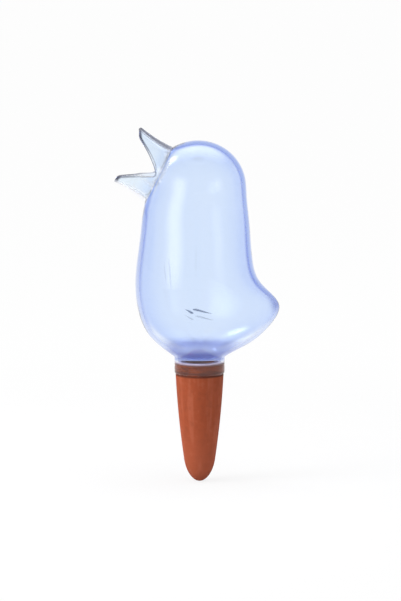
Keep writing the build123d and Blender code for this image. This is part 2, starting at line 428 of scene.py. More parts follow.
@dataclass(frozen=True)
class ClayFinish:
    """Unglazed fired clay: mottled, streaked along its length, with pores, and wet inside the neck. Its
    colour
    also holds painted light: it is paler towards the tip for light bounced up from the table. There is
    painted shade at the very tip and at the clay's top, and a painted contact shadow under the glass lip.

    painted_floor_bounce, painted_tip_shade, soak and top are heights in metres. rings are dark lines: a
    height and a strength.
    """

    name: str = "terracotta"
    body: Colour = (0.37, 0.076, 0.029)
    rosy: Colour = (0.45, 0.116, 0.058)
    umber: Colour = (0.25, 0.060, 0.026)
    wet: Colour = (0.28, 0.044, 0.004)
    soaked: Colour = (0.15, 0.026, 0.006)
    # Colour of the dark lines at the glass lip. The lower line is a painted contact shadow.
    dark_line: Colour = (0.07, 0.022, 0.014)
    # Painted shade: the dark violet at the clay's top.
    painted_top_shade: Colour = (0.16, 0.115, 0.19)
    cloud_scale: float = 85.0
    stretch: float = 0.1
    streak: Fade = Fade(0.45, 0.7, end=0.7)
    cloud: Fade = Fade(0.52, 0.75, end=0.6)
    pore_scale: float = 900.0
    pore: Fade = Fade(0.22, 0.05)
    patch_scale: float = 260.0
    patch: Fade = Fade(0.5, 0.62)
    pore_share: float = 0.45
    speck: Fade = Fade(0.58, 0.85, end=0.35)
    mottle_scale: float = 330.0
    dark_mottle: Fade = Fade(0.5, 0.66, end=0.25)
    pale_mottle: Fade = Fade(0.46, 0.32, end=0.3)
    # Painted light: paler towards the tip, for light bounced up from the table.
    painted_floor_bounce: Fade = Fade(-0.02, -0.05, end=0.4)
    # Painted shade: darker at the very tip.
    painted_tip_shade: Fade = Fade(-0.053, -0.0605, end=0.4)
    smear_scale: float = 210.0
    smear_flatness: float = 4.0
    smear: Fade = Fade(0.42, 0.62)
    soak: Fade = Fade(-0.0003, 0.0002, end=0.85)
    rings: tuple = ((-0.0004, 0.7), (0.0014, 0.5))
    ring_width: tuple[float, float] = (0.0007, 0.0002)
    top: Fade = Fade(0.0066, 0.0069, end=0.8)
    grain_relief: float = 0.5
    relief: float = 0.4
    relief_height: float = 0.00025
    roughness: Fade = Fade(0.3, 0.8, 0.72, 0.95)

    def material(self) -> Material:
        """Builds the material.

        Returns:
            The material.
        """
        material, graph = new_material(self.name)
        vector = graph.place()
        level = graph.axes(vector)[2]
        life = SurfaceLife.outputs(graph, vector, self.cloud_scale, self.stretch)
        grain = life["Grain"]
        cells = graph.node("TexVoronoi", {"Vector": vector, "Scale": self.pore_scale}, feature="F1")
        patchy = graph.ramp(graph.noise(vector, self.patch_scale, 2.0), *self.patch)
        pore = graph.times(graph.ramp(cells.outputs[0], *self.pore), patchy)
        mottle = graph.noise(vector, self.mottle_scale, 4.0)
        flat = graph.node("Mapping", {"Vector": vector, "Scale": (1.0, 1.0, self.smear_flatness)})
        smears = graph.noise(flat.outputs[0], self.smear_scale)
        water = graph.mix(graph.ramp(smears, *self.smear), self.wet, self.soaked)
        layers = [
            (graph.ramp(life["Streak"], *self.streak), self.rosy),
            (graph.ramp(life["Cloud"], *self.cloud), self.umber),
            (graph.times(pore, self.pore_share), self.umber),
            (graph.ramp(grain, *self.speck), self.rosy),
            (graph.ramp(mottle, *self.dark_mottle), self.umber),
            (graph.ramp(mottle, *self.pale_mottle), self.rosy),
            # Painted light: paler towards the tip, for light bounced up from the table.
            (graph.ramp(level, *self.painted_floor_bounce), self.rosy),
            # Painted shade: darker at the very tip.
            (graph.ramp(level, *self.painted_tip_shade), self.umber),
            (graph.ramp(level, *self.soak), water)]
        # Dark lines at the glass lip: the lower one is a painted contact shadow where the lip meets the
        # shoulder, the upper one a dark line 1.4 mm up.
        for height, strength in self.rings:
            layers.append((graph.ramp(graph.gap(level, height), *self.ring_width, 0.0, strength), self.dark_line))
        # Painted shade: dark violet at the clay's top.
        layers.append((graph.ramp(level, *self.top), self.painted_top_shade))
        height = graph.math("SUBTRACT", graph.times(grain, self.grain_relief), pore)
        bump = graph.node("Bump", {"Strength": self.relief, "Distance": self.relief_height, "Height": height})
        clay = graph.node("BsdfPrincipled", {
            "Base Color": graph.layered(self.body, layers), "Roughness": graph.ramp(grain, *self.roughness),
            "Specular IOR Level": 0.18, "Normal": bump.outputs[0]})
        graph.node("OutputMaterial", {"Surface": clay.outputs[0]})
        return material


@dataclass(frozen=True)
class SiliconeFinish:
    """Milky soft silicone with a satin skin, stained by the clay below a height in metres."""

    name: str = "milky_silicone"
    skin: Colour = (0.70, 0.54, 0.62)
    thin: Colour = (0.58, 0.43, 0.52)
    stain: Colour = (0.22, 0.07, 0.035)
    cloud_scale: float = 120.0
    cloud: Fade = Fade(0.4, 0.7)
    waver: float = 0.0003
    stained: Fade = Fade(0.00665, 0.0063, end=0.9)
    relief: float = 0.15
    relief_height: float = 0.0002
    roughness: Fade = Fade(0.3, 0.8, 0.3, 0.5)

    def material(self) -> Material:
        """Builds the material.

        Returns:
            The material.
        """
        material, graph = new_material(self.name)
        vector = graph.place()
        life = SurfaceLife.outputs(graph, vector, self.cloud_scale, 1.0)
        level = graph.math("ADD", graph.axes(vector)[2], graph.times(life["Cloud"], self.waver))
        colour = graph.layered(self.skin, (
            (graph.ramp(life["Cloud"], *self.cloud), self.thin),
            (graph.ramp(level, *self.stained), self.stain)))
        grain = life["Grain"]
        bump = graph.node("Bump", {"Strength": self.relief, "Distance": self.relief_height, "Height": grain})
        soft = graph.node("BsdfPrincipled", {
            "Base Color": colour, "Roughness": graph.ramp(grain, *self.roughness), "IOR": 1.41,
            "Normal": bump.outputs[0]})
        graph.node("OutputMaterial", {"Surface": soft.outputs[0]})
        return material


# Modelling tools
def deselect_all() -> None:
    """Leaves no object selected, so that an operator acts on nothing by mistake."""
    if bpy.context.mode != "OBJECT":
        bpy.ops.object.mode_set(mode="OBJECT")
    bpy.ops.object.select_all(action="DESELECT")


def make_active(piece: Piece) -> None:
    """Selects one object and makes it the active one.

    Args:
        piece: the object.
    """
    deselect_all()
    piece.select_set(True)
    bpy.context.view_layer.objects.active = piece


def apply_modifier(piece: Piece, kind: str, **settings: Any) -> None:
    """Adds a modifier to a piece and applies it.

    Args:
        piece: the object to change.
        kind: the modifier's type.
        settings: its properties.
    """
    make_active(piece)
    modifier = piece.modifiers.new(kind.lower(), kind)
    for name, value in settings.items():
        setattr(modifier, name, value)
    bpy.ops.object.modifier_apply(modifier=modifier.name)


class RingLoft:
    """A wall modelled ring by ring: a circle is extruded, and each new ring set on its outline."""

    smooth_angle = 42.0
    skin_share = 0.1

    def __init__(self, name: str, outlines: Sequence[Array]) -> None:
        """Adds a circle on the first outline and extrudes it over the others.

        Args:
            name: the new object's name.
            outlines: each ring's points, in metres.
        """
        deselect_all()
        first = outlines[0]
        size = float(np.linalg.norm(first - first.mean(axis=0), axis=1).mean())
        bpy.ops.mesh.primitive_circle_add(vertices=len(first), radius=size, fill_type="NOTHING")
        self.piece = bpy.context.object
        self.piece.name = self.piece.data.name = name
        self.rings = [first]
        bpy.ops.object.mode_set(mode="EDIT")
        bpy.ops.mesh.select_all(action="SELECT")
        mesh = bmesh.from_edit_mesh(self.piece.data)
        for layer in Layer:
            mesh.verts.layers.int.new(layer.value)
        column = mesh.verts.layers.int[Layer.COLUMN.value]
        for place, vert in enumerate(mesh.verts):
            vert[column] = place
        self.settle(first)
        for outline in outlines[1:]:
            self.extrude(outline)

    def settle(self, outline: Array) -> None:
        """Moves the selected ring onto an outline and numbers it.

        Args:
            outline: its points, in metres.
        """
        mesh = bmesh.from_edit_mesh(self.piece.data)
        column = mesh.verts.layers.int[Layer.COLUMN.value]
        ring = mesh.verts.layers.int[Layer.RING.value]
        for vert in mesh.verts:
            if vert.select:
                vert.co = Vector(outline[vert[column]])
                vert[ring] = len(self.rings) - 1
        bmesh.update_edit_mesh(self.piece.data)

    def extrude(self, outline: Array) -> None:
        """Extrudes the last ring to a new outline.

        Args:
            outline: its points, in metres.
        """
        step = outline.mean(axis=0) - self.rings[-1].mean(axis=0)
        bpy.ops.mesh.extrude_edges_move(TRANSFORM_OT_translate={"value": tuple(step)})
        self.rings.append(outline)
        self.settle(outline)

    def wall(self, thickness: float) -> Array:
        """Turns the faces outwards and gives the wall its thickness, inwards.

        Args:
            thickness: the wall, in metres.

        Returns:
            True for each vertex of the outer wall.
        """
        bpy.ops.mesh.select_all(action="SELECT")
        bpy.ops.mesh.normals_make_consistent(inside=False)
        bpy.ops.object.mode_set(mode="OBJECT")
        apply_modifier(self.piece, "SOLIDIFY", thickness=thickness, offset=-1.0,
                       use_even_offset=True, use_rim=True)
        outline = np.array(self.rings)[self.marks(Layer.RING), self.marks(Layer.COLUMN)]
        return np.linalg.norm(self.coordinates() - outline, axis=1) < self.skin_share * thickness

    def coordinates(self) -> Array:
        """Reads the vertices' places.

        Returns:
            One row for each vertex.
        """
        places = np.zeros(len(self.piece.data.vertices) * 3)
        self.piece.data.vertices.foreach_get("co", places)
        return places.reshape(-1, 3)

    def marks(self, layer: Layer) -> Array:
        """Reads a whole-number mark.

        Args:
            layer: the mark to read.

        Returns:
            One number for each vertex.
        """
        values = np.zeros(len(self.piece.data.vertices), int)
        self.piece.data.attributes[layer.value].data.foreach_get("value", values)
        return values

    def turns(self) -> Array:
        """Returns each vertex's place round its ring: one at the back or ridge, minus one opposite."""
        return np.cos(self.marks(Layer.COLUMN) * 2 * math.pi / COLUMNS)

    def move(self, chosen: Array, outline: Array) -> None:
        """Moves chosen vertices onto an outline, each to the point of its own column.

        Args:
            chosen: True for each vertex to move.
            outline: the outline's points.
        """
        places = self.coordinates()
        places[chosen] = outline[self.marks(Layer.COLUMN)[chosen]]
        self.piece.data.vertices.foreach_set("co", places.ravel())
        self.piece.data.update()

    def mark(self, mark: Mark, strength: Array) -> None:
        """Writes one mark of the glass on the vertices, from 0 to 1."""
        layer = self.piece.data.attributes.new(mark.value, "FLOAT", "POINT")
        layer.data.foreach_set("value", np.clip(strength, 0.0, 1.0).astype(np.float32))

    def mark_fused(self, *groups: Array) -> None:
        """Marks the faces whose corners all lie in one group of vertices.

        Args:
            groups: for each group, True for each vertex of it.
        """
        layer = self.piece.data.attributes.new(Mark.FUSED.value, "FLOAT", "FACE")
        values = [float(any(all(group[i] for i in face.vertices) for group in groups))
                  for face in self.piece.data.polygons]
        layer.data.foreach_set("value", values)

    def select_loop(self, chosen: Array) -> None:
        """Enters edit mode with the edges between chosen vertices selected.

        Args:
            chosen: True for each vertex of the loop.
        """
        make_active(self.piece)
        bpy.ops.object.mode_set(mode="EDIT")
        bpy.ops.mesh.select_mode(type="EDGE")
        bpy.ops.mesh.select_all(action="DESELECT")
        mesh = bmesh.from_edit_mesh(self.piece.data)
        mesh.verts.ensure_lookup_table()
        for edge in mesh.edges:
            edge.select_set(all(chosen[vert.index] for vert in edge.verts))
        bmesh.update_edit_mesh(self.piece.data)

    def crease(self, *loops: Array) -> None:
        """Keeps edges sharp when the wall is smoothed.

        Args:
            loops: for each loop, True for each vertex of it.
        """
        for chosen in loops:
            self.select_loop(chosen)
            bpy.ops.transform.edge_crease(value=1.0)
            bpy.ops.object.mode_set(mode="OBJECT")

    def round_loop(self, chosen: Array, width: float, segments: int) -> None:
        """Rounds the edges between chosen vertices.

        Args:
            chosen: True for each vertex of the loop.
            width: the round's size, in metres.
            segments: how many faces the round has.
        """
        self.select_loop(chosen)
        bpy.ops.mesh.bevel(offset=width, segments=segments, affect="EDGES", clamp_overlap=True)
        bpy.ops.object.mode_set(mode="OBJECT")

    def finish(self, levels: int) -> Piece:
        """Smooths the wall and shades it.

        Args:
            levels: how often the faces are divided.

        Returns:
            The finished object.
        """
        apply_modifier(self.piece, "SUBSURF", levels=levels, render_levels=levels)
        make_active(self.piece)
        bpy.ops.object.shade_smooth_by_angle(angle=math.radians(self.smooth_angle))
        for layer in Layer:
            self.piece.data.attributes.remove(self.piece.data.attributes[layer.value])
        deselect_all()
        return self.piece


def fair_curve(points: Sequence[tuple[float, float]], start: tuple[float, float],
               end: tuple[float, float], count: int = 900) -> Array:
    """Smooth curve through points with a given slope at each end.

    Args:
        points: reach and height of each point.
        start: slope at the first point.
        end: slope at the last point.
        count: number of points to return.

    Returns:
        Points on the curve, one row each.
    """
    places = np.array(points, float)
    steps = np.linalg.norm(np.diff(places, axis=0), axis=1)
    size = len(places)
    matrix, right = np.eye(size), np.zeros((size, 2))
    right[0], right[-1] = start, end
    for i in range(1, size - 1):
        before, after = 1 / steps[i - 1], 1 / steps[i]
        matrix[i, i - 1:i + 2] = before, 2 * (before + after), after
        right[i] = 3 * ((places[i] - places[i - 1]) * before ** 2 + (places[i + 1] - places[i]) * after ** 2)
    slopes = np.linalg.solve(matrix, right)
    knots = np.concatenate([[0.0], np.cumsum(steps)])
    at = np.linspace(0.0, knots[-1], count)
    span = np.clip(np.searchsorted(knots, at, side="right") - 1, 0, size - 2)
    width = steps[span][:, None]
    s = (at - knots[span])[:, None] / width
    return ((2 * s ** 3 - 3 * s ** 2 + 1) * places[span] + (s ** 3 - 2 * s ** 2 + s) * width * slopes[span]
            + (3 * s ** 2 - 2 * s ** 3) * places[span + 1] + (s ** 3 - s ** 2) * width * slopes[span + 1])


# Pieces
@dataclass
class BirdForm:
    """Outer form of the bird, in millimetres: outlines of its front, back and sides."""

    neck_radius: float = 14.1
    neck_length: float = 10.0
    wall: float = 2.0
    brow_reach: float = 28.0
    poll_reach: float = 26.2
    brow_half_width: float = 27.2
    brow_height: float = 105.0
    crown_rise: float = 26.4
    tail_pinch: float = 0.62
    front: tuple = ((29.8, 24.0), (36.0, 49.0), (33.1, 78.4), (30.7, 96.0))
    back: tuple = ((27.9, 17.3), (39.6, 27.4), (45.1, 38.2), (34.3, 51.2), (29.6, 64.8), (27.9, 85.0))
    side: tuple = ((29.0, 24.0), (34.0, 49.0), (31.0, 78.4))
    root_slope: tuple[float, float] = (1.0, 0.75)
    brow_slope: tuple[float, float] = (-0.3, 1.0)
    upright: tuple[float, float] = (0.0, 1.0)
    mouth_depth: float = 22.75
    mouth_tilt: float = 26.5
    farthest: float = 90.0
    wall_halvings: int = 40
    width_halvings: int = 30
    neck_levels: tuple = (0.0, 2.0, 4.7, 7.1, 8.3, 9.3)
    ring_start: float = 0.3
    ring_step: float = 2.6
    ring_stop: float = 1.4
    lean_gap: float = 40.0
    lean_rings: int = 26
    lines: dict = field(default_factory=dict)

    def __post_init__(self) -> None:
        """Draws the three outlines and the mouth's plane."""
        root = (self.neck_radius - self.wall / 2, self.neck_length - self.wall / 2)
        tops = {"front": (self.brow_reach, self.brow_slope), "back": (self.poll_reach, self.upright),
                "side": (self.brow_half_width, self.upright)}
        for name, (reach, slope) in tops.items():
            points = (root, *getattr(self, name), (reach, self.brow_height))
            self.lines[name] = fair_curve(points, self.root_slope, slope)
        tilt = math.radians(self.mouth_tilt)
        self.out = np.array((-math.cos(tilt), 0.0, math.sin(tilt)))
        self.up = np.array((math.sin(tilt), 0.0, math.cos(tilt)))
        head = np.array((self.brow_half_width - self.brow_reach, 0.0, self.brow_height))
        self.mouth = head + self.out * self.mouth_depth

    def reaches(self, height: Array) -> list[Array]:
        """Finds how far the walls reach, over the crown too.

        Args:
            height: the heights to look at.

        Returns:
            The front, back and side reach at each height.
        """
        low = np.minimum(height, self.brow_height)
        found = [np.interp(low, self.lines[n][:, 1], self.lines[n][:, 0]) for n in ("front", "back", "side")]
        rise = np.clip((height - self.brow_height) / self.crown_rise, 0.0, 1.0)
        share = np.sqrt(1 - rise ** 2)
        centre = found[2] - found[0]
        return [(found[0] + centre) * share - centre, (found[1] - centre) * share + centre, found[2] * share]

    def holds(self, places: Array) -> Array:
        """Tells which places lie inside the bird.

        Args:
            places: points, one row each.

        Returns:
            True for each point inside.
        """
        x, y, z = places.T
        front, back, side = self.reaches(z)
        centre = side - front
        behind = np.maximum(back - centre, TINY)
        stretch = np.maximum(behind / np.maximum(side, TINY) - 1, 0.0)
        handle = 4 / 3 * (math.sqrt(2) - 1)
        along, across = handle - self.tail_pinch * stretch / 2, handle - self.tail_pinch * stretch
        share = np.clip((x - centre) / behind, 0.0, 1.0)
        low, high = np.zeros_like(share), np.ones_like(share)
        for _ in range(self.width_halvings):
            t = (low + high) / 2
            below = 3 * (1 - t) ** 2 * t * along + 3 * (1 - t) * t ** 2 + t ** 3 < share
            low, high = np.where(below, t, low), np.where(below, high, t)
        width = side * ((1 - t) ** 3 + 3 * (1 - t) ** 2 * t + 3 * (1 - t) * t ** 2 * across)
        ahead = (x - centre) ** 2 + y ** 2 <= side ** 2
        aft = (np.abs(y) <= width) & (x <= centre + behind)
        form = np.where(x <= centre, ahead, aft) & (z >= self.neck_length - self.wall / 2)
        form &= z <= self.brow_height + self.crown_rise
        neck = (x ** 2 + y ** 2 <= self.neck_radius ** 2) & (z <= self.neck_length + self.wall / 2)
        return form | neck

    def reach_along(self, start: Array, ways: Array) -> Array:
        """Finds the wall in several directions.

        Args:
            start: a point inside the bird.
            ways: the directions, one row each.

        Returns:
            How far the wall is in each direction.
        """
        low, high = np.zeros(len(ways)), np.full(len(ways), self.farthest)
        for _ in range(self.wall_halvings):
            middle = (low + high) / 2
            inside = self.holds(start + ways * middle[:, None])
            low, high = np.where(inside, middle, low), np.where(inside, high, middle)
        return low

    def ring(self, start: Array, back: Array) -> Array:
        """Outline of the bird in a plane that holds the Y axis.

        Args:
            start: a point inside the bird, in the plane.
            back: direction in the plane that points to the tail or crown.

        Returns:
            The outline's points, in millimetres, from the back round by +Y.
        """
        turn = np.linspace(0.0, 2 * math.pi, COLUMNS, endpoint=False)
        ways = np.cos(turn)[:, None] * back + np.sin(turn)[:, None] * SIDEWAYS
        return start + ways * self.reach_along(start, ways)[:, None]

    def middle(self, start: Array, back: Array) -> Array:
        """Middle between the front and back walls on a line through a point inside."""
        ahead, behind = self.reach_along(start, np.array((-back, back)))
        return start + back * (behind - ahead) / 2

    def level_rings(self, top: float) -> list[Array]:
        """Level outlines from the lip up, evenly spaced over the wall.

        Args:
            top: the height to stay below.

        Returns:
            The outlines.
        """
        line = self.lines["side"]
        line = line[(line[:, 0] > self.neck_radius) & (line[:, 1] < top)]
        length = np.concatenate([[0.0], np.cumsum(np.linalg.norm(np.diff(line, axis=0), axis=1))])
        bowl = np.interp(np.arange(self.ring_start, length[-1] - self.ring_stop, self.ring_step),
                         length, line[:, 1])
        tail = np.array((1.0, 0.0, 0.0))
        found = []
        for height in (*self.neck_levels, *bowl):
            start = np.array((0.0, 0.0, height))
            found.append(self.ring(self.middle(start, tail), tail))
        return found

    def head_rings(self) -> tuple[list[Array], float]:
        """Outlines that lean over step by step until they lie in the mouth's plane.

        Returns:
            The outlines, and the height where the lean starts.
        """
        lower = self.reach_along(self.mouth, -self.up[None, :])[0]
        pivot = self.mouth - self.up * (lower + self.lean_gap)
        lean = math.atan2(self.up[2], self.up[0])
        found = []
        for angle in np.linspace(0.0, lean, self.lean_rings):
            back = np.array((math.cos(angle), 0.0, math.sin(angle)))
            start = self.middle(pivot + back * self.lean_gap, back)
            found.append(self.ring(self.middle(start, back), back))
        return found, float(pivot[2])

    def mouth_ring(self, inset: float, out: float = 0.0) -> Array:
        """The mouth's outline.

        Args:
            inset: how far it is drawn in.
            out: how far it is moved out of the mouth.

        Returns:
            The outline's points.
        """
        centre = self.middle(self.mouth, self.up)
        ring = self.ring(centre, self.up)
        half_height = np.abs((ring - centre) @ self.up).max()
        half_width = np.abs(ring[:, 1]).max()
        high = ((ring - centre) @ self.up) * (half_height - inset) / half_height
        wide = ring[:, 1] * (half_width - inset) / half_width
        return centre + self.out * out + high[:, None] * self.up + wide[:, None] * SIDEWAYS


@dataclass
class GlassBody:
    """The blown body with its neck: one wall from the rounded lip to the mouth's rim.

    Fades run over heights, over places aft of the neck's axis or beside it, in millimetres, and for
    rim_melt round the mouth. Each gather at the neck's root is partly glass gathered thick and partly
    painted shade, for the dark that the neck's root refracts. Each gives its height, spread and depth.
    """

    form: BirdForm
    finish: GlassFinish
    rim_wall: float = 1.8
    rim_melt: Fade = Fade(0.8, 0.97, 0.7, 0.0)
    lip_round: float = 1.2
    lip_faces: int = 4
    lip_inner_round: float = 0.3
    lip_inner_faces: int = 2
    lip_margin: float = 1.5
    wet_rings: int = 4
    neck_rim: Fade = Fade(7.2, 8.2, 1.0, 0.0)
    # Each row is partly glass gathered thick and partly painted shade at the neck's root: height, spread and
    # depth.
    gathers_and_root_shade: tuple = ((12.8, 2.4, 0.92), (9.3, 1.4, 0.6))
    tail_aft: Fade = Fade(39.0, 44.5, end=0.75)
    tail_level: Fade = Fade(33.0, 39.0)
    ridge_aft: Fade = Fade(30.0, 38.0, end=0.45)
    ridge_level: Fade = Fade(37.0, 42.0)
    ridge_side: Fade = Fade(3.0, 9.0, 1.0, 0.0)
    # lit_from and lit_until place the painted white reflection of the table on the bowl. breast, rump and
    # behind place the part lit from below, where under_share pales the painted dark edge band.
    lit_from: Fade = Fade(16.5, 19.0)
    lit_until: Fade = Fade(24.0, 31.0, 1.0, 0.0)
    breast: Fade = Fade(20.0, 88.0, 1.0, 0.0)
    rump: Fade = Fade(28.0, 42.0, 1.0, 0.0)
    behind: Fade = Fade(-10.0, 15.0)
    under_share: float = 0.7

    def build(self) -> Piece:
        """Models the body.

        Returns:
            The new piece.
        """
        head, top = self.form.head_rings()
        rings = [ring * MM for ring in (*self.form.level_rings(top), *head)]
        loft = RingLoft("bird_body", rings)
        outer = loft.wall(self.form.wall * MM)
        number = loft.marks(Layer.RING)
        mouth = number == len(rings) - 1
        loft.move(mouth & ~outer, self.form.mouth_ring(self.rim_wall) * MM)
        loft.mark_fused(mouth, ~outer & (number < self.wet_rings))
        self.mark(loft, outer, mouth)
        loft.crease(mouth & outer, mouth & ~outer)
        loft.round_loop((number == 0) & outer, self.lip_round * MM, self.lip_faces)
        x, y, z = loft.coordinates().T
        inner_lip = (np.abs(z) < TINY) & (np.hypot(x, y) < (self.form.neck_radius - self.lip_margin) * MM)
        loft.round_loop(inner_lip, self.lip_inner_round * MM, self.lip_inner_faces)
        return loft.finish(1)

    def mark(self, loft: RingLoft, outer: Array, mouth: Array) -> None:
        """Marks where the glass is thick or has painted shade at the neck's root, where it is pale, where it
        carries the painted reflection of the table, where it is lit from below so that its painted dark edge
        is paler, and where it melts into the beak.

        Args:
            loft: the body's wall.
            outer: True for each vertex of the outer wall.
            mouth: True for each vertex of the mouth's rim.
        """
        aft, across, level = loft.coordinates().T / MM
        # Partly thick glass and partly painted shade at the neck's root.
        gathers_and_root_shade = [np.exp(-((level - height) / spread) ** 2) * depth
                   for height, spread, depth in self.gathers_and_root_shade]
        tail = self.tail_aft.over(aft) * self.tail_level.over(level)
        ridge = self.ridge_aft.over(aft) * self.ridge_level.over(level) * self.ridge_side.over(np.abs(across))
        behind = self.behind.over(aft)
        under = self.breast.over(level) * (1 - behind) + self.rump.over(level) * behind
        loft.mark(Mark.RIM, self.neck_rim.over(level))
        loft.mark(Mark.DEEP, np.max((*gathers_and_root_shade, tail, ridge), axis=0))
        # Painted reflection: where the bowl shows the table's reflection in white.
        loft.mark(Mark.LIT, self.lit_from.over(level) * self.lit_until.over(level))
        loft.mark(Mark.LINING, ~outer)
        loft.mark(Mark.MELTED, np.where(mouth, self.rim_melt.over(loft.turns()), 0.0))
        # Painted light: the table lights the lower glass from below, so its painted dark edge band is paler
        # there.
        loft.mark(Mark.UNDER, under)
        loft.mark(Mark.EDGED, 1 - self.under_share * under)

    def dress(self, piece: Piece) -> None:
        """Gives the body its glass and puts it on the bird."""
        dress(piece, self.finish.material(), Body.BIRD, "glass_body")


@dataclass
class GlassBeak:
    """The clear beak: a drawn-in funnel with two rounded points, fused to the mouth's rim, with painted dark
    shade on its rounded rims, its upper ridge and its edges.

    Sizes are in millimetres. The fades named base, melt and rim_band run over distances, rim_strength
    over a column's share of the reach, and the others round the ring, where 1 is the upper ridge.
    """

    form: BirdForm
    finish: GlassFinish
    wall: float = 1.8
    seam: float = 0.03
    reach: float = 21.0
    upper_reach: float = 21.8
    lower_reach: float = 21.2
    longest: float = 40.0
    length_steps: int = 8001
    flare: float = 0.3
    lift: float = 6.4
    waist: float = 11.0
    waist_half_width: float = 10.5
    waist_dip: float = 0.8
    waist_tuck: float = 1.3
    end_half_width: float = 7.5
    end_round: float = 12.0
    upper_tip_width: float = 3.9
    lower_tip_width: float = 4.0
    gape: tuple[float, float] = (-2.0, -0.9)
    gape_hollow: float = 2.8
    upper_bow: float = 0.8
    lower_bow: float = 0.9
    tip_round: float = 1.2
    nose: float = 2.0
    lower_nose_share: float = 0.1
    blunt_from: float = 0.8
    rim: float = 0.9
    rim_most: float = 0.35
    # rim_strength, rim_band and ridge place the painted dark rims and ridge. ridge_edge places the painted
    # dark edge band. under places the part lit from below, where that band is paler.
    rim_strength: Fade = Fade(0.25, 0.85, 0.7, 1.0)
    rim_band: Fade = Fade(0.8, 2.4, 1.0, 0.0)
    ridge: Fade = Fade(0.965, 0.99, end=0.7)
    ridge_edge: Fade = Fade(0.86, 0.95, 0.1, 1.0)
    base: Fade = Fade(0.0, 9.0, 1.0, 0.0)
    upper_tint: Fade = Fade(-0.1, 0.5, end=0.2)
    melt: Fade = Fade(0.0, 2.6, 0.75, 0.0)
    lower_melt: Fade = Fade(-0.7, -0.1, 0.5, 1.0)
    ridge_melt: Fade = Fade(0.85, 0.97, 1.0, 0.3)
    under: Fade = Fade(-0.95, -0.2, 1.0, 0.0)
    rows: int = 18
    row_crowding: float = 1.7

    def sections(self) -> None:
        """Works out how the funnel's height, width and lift change out of the mouth."""
        ring = self.form.mouth_ring(0.0)
        self.centre = self.form.middle(self.form.mouth, self.form.up)
        self.high = (ring - self.centre) @ self.form.up
        self.wide = ring[:, 1]
        self.half_height = np.abs(self.high).max()
        self.half_width = np.abs(self.wide).max()
        reaches = Fade(self.blunt_from, 1.0, self.lower_reach, self.upper_reach)
        self.ends = reaches.over(self.high / self.half_height)
        rise, slant = math.tan(math.radians(self.flare)), math.tan(math.radians(self.lift))
        at = (0.0, self.waist, self.reach + self.wall)
        dip, tuck = self.waist_dip, self.waist_tuck
        heights = [self.half_height + out * rise for out in at]
        lifts = [out * slant for out in at]
        heights[1] -= (dip + tuck) / 2
        lifts[1] += (tuck - dip) / 2
        self.height_curve = np.polyfit(at, heights, 2)
        self.lift_curve = np.polyfit(at, lifts, 2)
        self.width_curve = np.polyfit(at, (self.half_width, self.waist_half_width, self.end_half_width), 2)

    def level(self, out: Array) -> Array:
        """Height of each column over the mouth's middle.

        Args:
            out: its distance out of the mouth.

        Returns:
            The heights.
        """
        past = np.clip(out - self.ends + self.nose, 0.0, self.nose)
        drop = self.nose - np.sqrt(self.nose ** 2 - past ** 2)
        drop = drop * np.where(self.high > 0, 1.0, self.lower_nose_share)
        half = np.polyval(self.height_curve, out) - drop
        return np.polyval(self.lift_curve, out) + self.high * half / self.half_height

    def breadth(self, out: Array) -> Array:
        """Sideways place of each column at its distance out."""
        return self.wide * np.polyval(self.width_curve, out) / self.half_width

    def edge(self, out: float, point: float, bow: float) -> float:
        """Height of the gape's upper or lower edge at a distance out.

        Args:
            out: the distance.
            point: the edge's height where it ends at the jaw's point.
            bow: how far the edge bends from a straight line.

        Returns:
            The height over the mouth's middle.
        """
        run, rise = self.reach - self.gape[0], point - self.gape[1]
        share = (out - self.gape[0]) / run
        inside = np.clip(share, 0.0, 1.0)
        return self.gape[1] + rise * share + bow * 4 * inside * (1 - inside) * math.hypot(run, rise) / run

    def lengths(self) -> Array:
        """How far each column runs out before the gape or the round end stops it.

        Returns:
            The distances.
        """
        upper_ridge = self.half_height + self.reach * math.tan(math.radians(self.lift + self.flare))
        lower_ridge = -self.half_height + self.reach * math.tan(math.radians(self.lift - self.flare))
        gape = np.full(COLUMNS, self.longest)
        for out in np.linspace(self.longest, 0.0, self.length_steps):
            upper = self.edge(out, upper_ridge - self.upper_tip_width, self.upper_bow)
            lower = self.edge(out, lower_ridge + self.lower_tip_width, self.lower_bow)
            half = (upper - lower) / 2
            open_half = math.sqrt(max(half * abs(half) - self.gape_hollow ** 2, 0.0))
            cut = np.abs(self.level(out) - (upper + lower) / 2) < open_half
            gape = np.where(cut, out, gape)
        side = np.minimum(np.abs(self.breadth(self.reach)), self.end_round)
        end = self.ends - self.end_round + np.sqrt(self.end_round ** 2 - side ** 2)
        share = np.clip(0.5 + 0.5 * (end - gape) / self.tip_round, 0.0, 1.0)
        return end * (1 - share) + gape * share - self.tip_round * share * (1 - share)

    def ring(self, out: Array) -> Array:
        """Points of the funnel, one on each column, at the columns' distances out."""
        return (self.centre + out[:, None] * self.form.out + self.level(out)[:, None] * self.form.up
                + self.breadth(out)[:, None] * SIDEWAYS)

    def build(self) -> Piece:
        """Models the beak.

        Returns:
            The new piece.
        """
        self.sections()
        length = self.lengths()
        rim = np.minimum(self.rim, self.rim_most * length)
        shares = 1 - np.linspace(1.0, 0.0, self.rows) ** self.row_crowding
        outs = np.array([*(self.seam + (length - rim - self.seam) * share for share in shares), length])
        loft = RingLoft("bird_beak", [self.ring(out) * MM for out in outs])
        outer = loft.wall(self.wall * MM)
        number = loft.marks(Layer.RING)
        base = number == 0
        loft.move(base & ~outer, self.form.mouth_ring(self.wall, self.seam) * MM)
        loft.mark_fused(base)
        loft.mark(Mark.LINING, ~outer)
        column = loft.marks(Layer.COLUMN)
        self.mark(loft, outs[number, column], length[column])
        loft.crease(base & outer, base & ~outer)
        return loft.finish(2)

